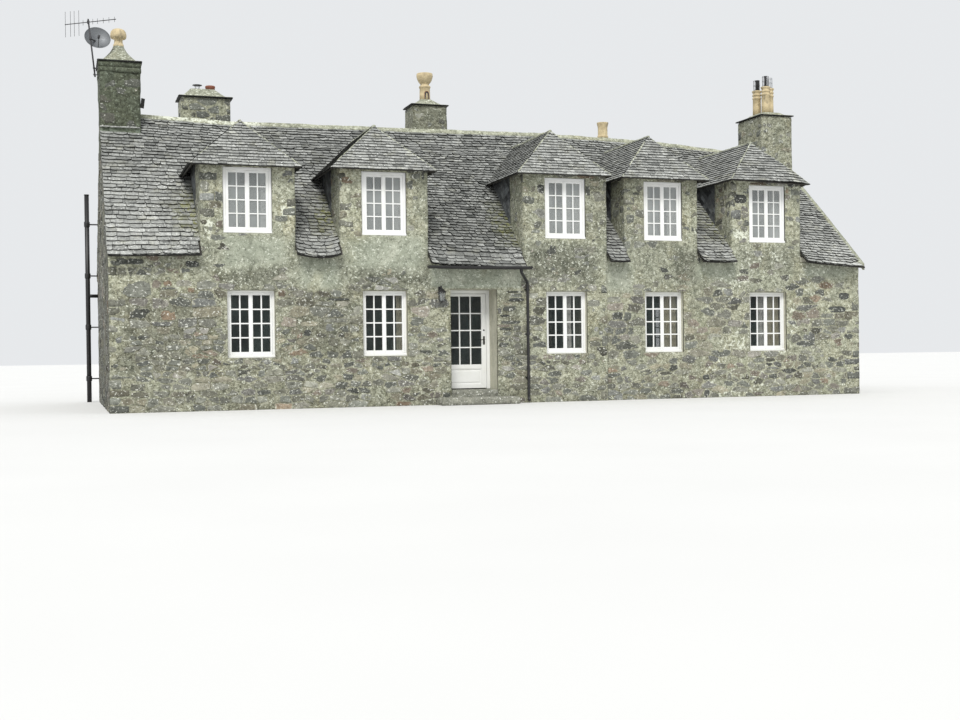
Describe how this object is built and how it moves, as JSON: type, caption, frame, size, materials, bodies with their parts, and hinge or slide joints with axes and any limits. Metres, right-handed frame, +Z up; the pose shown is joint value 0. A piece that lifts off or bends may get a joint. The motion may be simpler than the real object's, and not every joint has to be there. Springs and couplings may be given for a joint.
{
  "type": "slate-roofed stone cottage",
  "caption": "Long two-storey rubble-stone cottage with a slate roof, hipped dormers rising from the front wall, stone stacks and a glazed front door that opens inward.",
  "frame": {"origin": "middle of the house's footprint on the ground, at the underside of the ground floor", "axes": "+X along the front wall from the left gable to the right gable, -Y out of the front wall, +Z up"},
  "size_m": [17.0968, 7.51, 8.2127],
  "materials": {
    "rubble_stone": "weathered random rubble with lime mortar and lichen",
    "stone_flags": "worn flags",
    "floor_boards": "waxed boards",
    "slate": "rough slates with pale lichen",
    "lime_mortar": "weathered lime mortar",
    "white_joinery_and_glass": "white gloss paint, clear panes",
    "white_joinery": "white gloss paint",
    "fired_clay": "unglazed buff clay",
    "black_iron": "black paint",
    "grey_aluminium": "dull grey"
  },
  "bodies": {
    "house": {"aerial_and_dish": "grey_aluminium", "door_frame": "white_joinery", "door_head_wall": "rubble_stone", "doorstep": "stone_flags", "dormer_1": "slate", "dormer_2": "slate", "dormer_3": "slate", "dormer_4": "slate", "dormer_5": "slate", "downpipe": "black_iron", "front_wall_left": "rubble_stone", "front_wall_middle": "rubble_stone", "front_wall_right": "rubble_stone", "ground_floor": "stone_flags", "gutter": "black_iron", "left_gable_wall": "rubble_stone", "left_stack": "rubble_stone", "left_stack_pot": "fired_clay", "main_roof_front": "slate", "main_roof_rear": "slate", "rear_dormer_1": "slate", "rear_dormer_2": "slate", "rear_stack_left": "rubble_stone", "rear_stack_left_pots": "fired_clay", "rear_stack_middle": "rubble_stone", "rear_stack_middle_pot": "fired_clay", "rear_stack_right": "rubble_stone", "rear_stack_right_pot": "fired_clay", "rear_wall": "rubble_stone", "rear_window_lower_1": "white_joinery_and_glass", "rear_window_lower_2": "white_joinery_and_glass", "rear_window_lower_3": "white_joinery_and_glass", "rear_window_upper_1": "white_joinery_and_glass", "rear_window_upper_2": "white_joinery_and_glass", "right_gable_wall": "rubble_stone", "right_stack": "rubble_stone", "right_stack_pots": "fired_clay", "roof_ridge": "lime_mortar", "upper_floor": "floor_boards", "vent_pipe": "black_iron", "wall_lantern": "black_iron", "window_lower_1": "white_joinery_and_glass", "window_lower_2": "white_joinery_and_glass", "window_lower_3": "white_joinery_and_glass", "window_lower_4": "white_joinery_and_glass", "window_lower_5": "white_joinery_and_glass", "window_upper_1": "white_joinery_and_glass", "window_upper_2": "white_joinery_and_glass", "window_upper_3": "white_joinery_and_glass", "window_upper_4": "white_joinery_and_glass", "window_upper_5": "white_joinery_and_glass"},
    "front_door": {"front_door": "white_joinery"}
  },
  "joints": [
    {"name": "front_door_hinge", "type": "hinge", "parent": "house", "child": "front_door", "pos_m": [-1.524, -2.86, 1.3], "axis": [0, 0, 1], "range_deg": [0, 90]}
  ]
}
